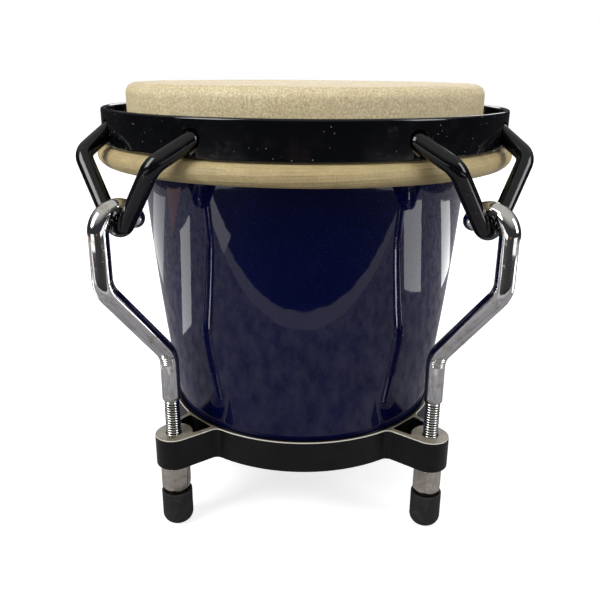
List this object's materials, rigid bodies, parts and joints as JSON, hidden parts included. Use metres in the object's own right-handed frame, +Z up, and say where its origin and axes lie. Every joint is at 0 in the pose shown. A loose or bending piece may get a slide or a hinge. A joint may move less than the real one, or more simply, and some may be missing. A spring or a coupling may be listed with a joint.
{
  "type": "hand drum",
  "caption": "Small tunable hand drum: tapered fibreglass shell, natural skin head, flat steel crown, and hook-and-nut tension lugs that stand on rubber feet.",
  "frame": {"origin": "on the drum's axis, level with the undersides of the rubber feet", "axes": "+Z up the drum's axis to the head; -Y towards the front, midway between two tension lugs"},
  "size_m": [0.2206, 0.2206, 0.2284],
  "materials": {
    "shell_fibreglass": "polished navy gel coat with a fine metallic flake over fibreglass",
    "skin": "natural rawhide, mottled and fibrous, satin",
    "hoop_steel": "drawn steel rod",
    "crown_enamel": "black gloss powder coat on rolled steel",
    "bail_enamel": "black gloss coat on bent steel bar",
    "ring_enamel": "black satin coat on an aluminium casting",
    "hook_chrome": "bright chrome plating with slight pitting",
    "nut_chrome": "dulled chrome plating",
    "foot_rubber": "moulded matt black rubber",
    "gasket_rubber": "flat rubber strip"
  },
  "bodies": {
    "drum_body": {"shell": "shell_fibreglass", "bottom_ring": "ring_enamel", "ring_gasket": "gasket_rubber"},
    "head": {"head_skin": "skin", "skin_roll": "skin", "flesh_hoop": "hoop_steel"},
    "crown_band": {"crown": "crown_enamel"},
    "nut_front_left": {"tuning_nut_front_left": "nut_chrome", "rubber_foot_front_left": "foot_rubber"},
    "nut_front_right": {"tuning_nut_front_right": "nut_chrome", "rubber_foot_front_right": "foot_rubber"},
    "nut_rear_right": {"tuning_nut_rear_right": "nut_chrome", "rubber_foot_rear_right": "foot_rubber"},
    "nut_rear_left": {"tuning_nut_rear_left": "nut_chrome", "rubber_foot_rear_left": "foot_rubber"},
    "hook_front_left": {"tension_hook_front_left": "hook_chrome"},
    "hook_front_right": {"tension_hook_front_right": "hook_chrome"},
    "hook_rear_right": {"tension_hook_rear_right": "hook_chrome"},
    "hook_rear_left": {"tension_hook_rear_left": "hook_chrome"},
    "bail_front_left": {"bail_front_left": "bail_enamel"},
    "bail_front_right": {"bail_front_right": "bail_enamel"},
    "bail_rear_right": {"bail_rear_right": "bail_enamel"},
    "bail_rear_left": {"bail_rear_left": "bail_enamel"}
  },
  "joints": [
    {"name": "crown_lift", "type": "slide", "parent": "drum_body", "child": "crown_band", "axis": [0, 0, 1], "range_m": [0, 0.00706]},
    {"name": "nut_front_left_turn", "type": "hinge", "parent": "drum_body", "child": "nut_front_left", "pos_m": [-0.06739, -0.06739, 0.028], "axis": [0, 0, -1], "range_deg": [0, 1800]},
    {"name": "nut_front_right_turn", "type": "hinge", "parent": "drum_body", "child": "nut_front_right", "pos_m": [0.06739, -0.06739, 0.028], "axis": [0, 0, -1], "range_deg": [0, 1800]},
    {"name": "nut_rear_right_turn", "type": "hinge", "parent": "drum_body", "child": "nut_rear_right", "pos_m": [0.06739, 0.06739, 0.028], "axis": [0, 0, -1], "range_deg": [0, 1800]},
    {"name": "nut_rear_left_turn", "type": "hinge", "parent": "drum_body", "child": "nut_rear_left", "pos_m": [-0.06739, 0.06739, 0.028], "axis": [0, 0, -1], "range_deg": [0, 1800]},
    {"name": "hook_front_left_lift", "type": "slide", "parent": "drum_body", "child": "hook_front_left", "axis": [0, 0, 1], "range_m": [0, 0.00708]},
    {"name": "hook_front_right_lift", "type": "slide", "parent": "drum_body", "child": "hook_front_right", "axis": [0, 0, 1], "range_m": [0, 0.00708]},
    {"name": "hook_rear_right_lift", "type": "slide", "parent": "drum_body", "child": "hook_rear_right", "axis": [0, 0, 1], "range_m": [0, 0.00708]},
    {"name": "hook_rear_left_lift", "type": "slide", "parent": "drum_body", "child": "hook_rear_left", "axis": [0, 0, 1], "range_m": [0, 0.00708]},
    {"name": "head_lift", "type": "slide", "parent": "drum_body", "child": "head", "axis": [0, 0, 1], "range_m": [0, 0.00708]},
    {"name": "bail_front_left_rock", "type": "hinge", "parent": "crown_band", "child": "bail_front_left", "pos_m": [-0.07198, -0.07198, 0.2058], "axis": [0.7071, -0.7071, 0], "range_deg": [0, 1.2]},
    {"name": "bail_front_right_rock", "type": "hinge", "parent": "crown_band", "child": "bail_front_right", "pos_m": [0.07198, -0.07198, 0.2058], "axis": [0.7071, 0.7071, 0], "range_deg": [0, 1.2]},
    {"name": "bail_rear_right_rock", "type": "hinge", "parent": "crown_band", "child": "bail_rear_right", "pos_m": [0.07198, 0.07198, 0.2058], "axis": [-0.7071, 0.7071, 0], "range_deg": [0, 1.2]},
    {"name": "bail_rear_left_rock", "type": "hinge", "parent": "crown_band", "child": "bail_rear_left", "pos_m": [-0.07198, 0.07198, 0.2058], "axis": [-0.7071, -0.7071, 0], "range_deg": [0, 1.2]}
  ],
  "couplings": [
    {"joint": "nut_front_left_turn", "follows": "crown_lift", "rad_per_m": 4452.7},
    {"joint": "hook_front_left_lift", "follows": "crown_lift", "ratio": 1},
    {"joint": "nut_front_right_turn", "follows": "crown_lift", "rad_per_m": 4452.7},
    {"joint": "hook_front_right_lift", "follows": "crown_lift", "ratio": 1},
    {"joint": "nut_rear_right_turn", "follows": "crown_lift", "rad_per_m": 4452.7},
    {"joint": "hook_rear_right_lift", "follows": "crown_lift", "ratio": 1},
    {"joint": "nut_rear_left_turn", "follows": "crown_lift", "rad_per_m": 4452.7},
    {"joint": "hook_rear_left_lift", "follows": "crown_lift", "ratio": 1},
    {"joint": "head_lift", "follows": "crown_lift", "ratio": 1}
  ]
}
